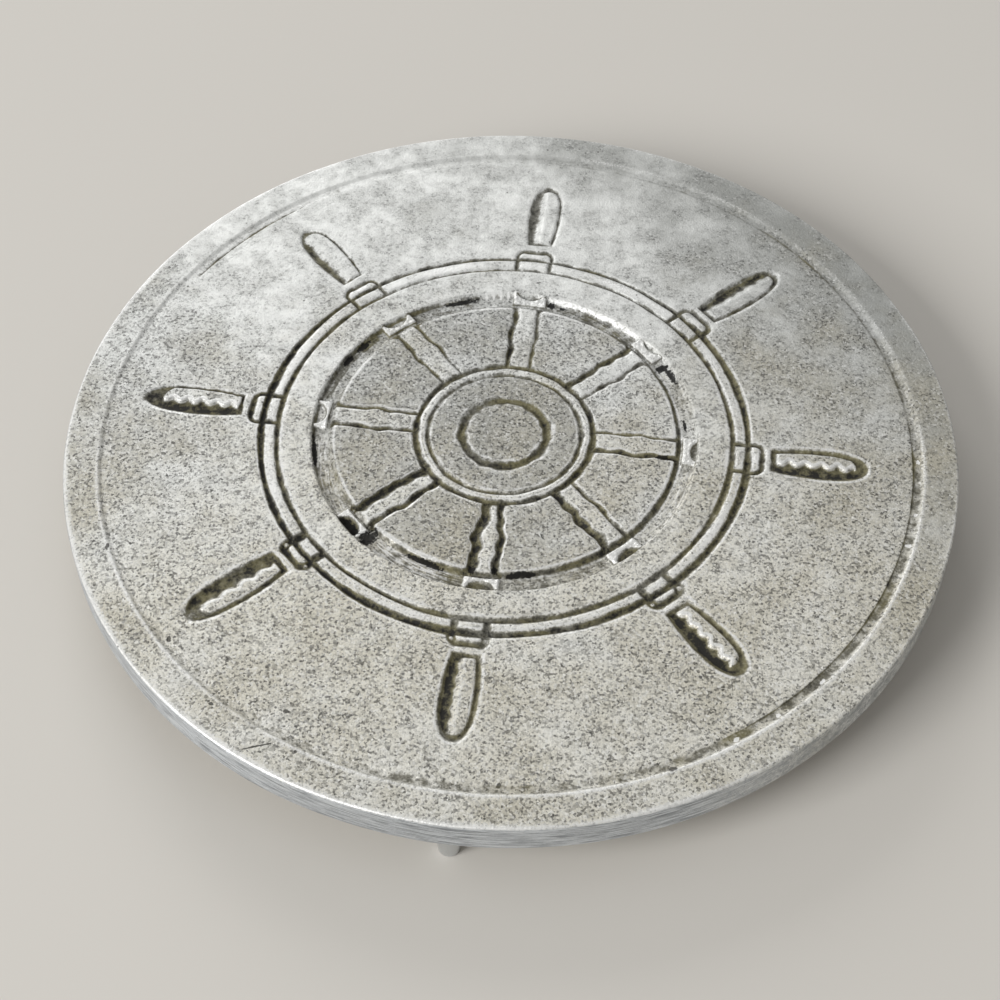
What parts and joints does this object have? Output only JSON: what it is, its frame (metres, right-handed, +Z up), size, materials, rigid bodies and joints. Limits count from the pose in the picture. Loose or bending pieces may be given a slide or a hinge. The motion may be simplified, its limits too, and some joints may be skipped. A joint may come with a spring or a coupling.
{
  "type": "trivet",
  "caption": "Round cast trivet with a raised rim and an incised ship's wheel, standing on short turned feet, to keep hot pans off a table.",
  "frame": {"origin": "on the table, under the middle of the plate", "axes": "+X to the right and +Y away from the viewer as the picture shows it, +Z up, out of the carved face"},
  "size_m": [0.203, 0.203, 0.019],
  "materials": {
    "cast_aluminium": "sand-cast and carved, tarnished, with dark grime in the cuts",
    "turned_aluminium": "turned, worn bright"
  },
  "bodies": {
    "root": {"plate": "cast_aluminium", "front_foot": "turned_aluminium", "back_right_foot": "turned_aluminium", "back_left_foot": "turned_aluminium"}
  },
  "joints": []
}
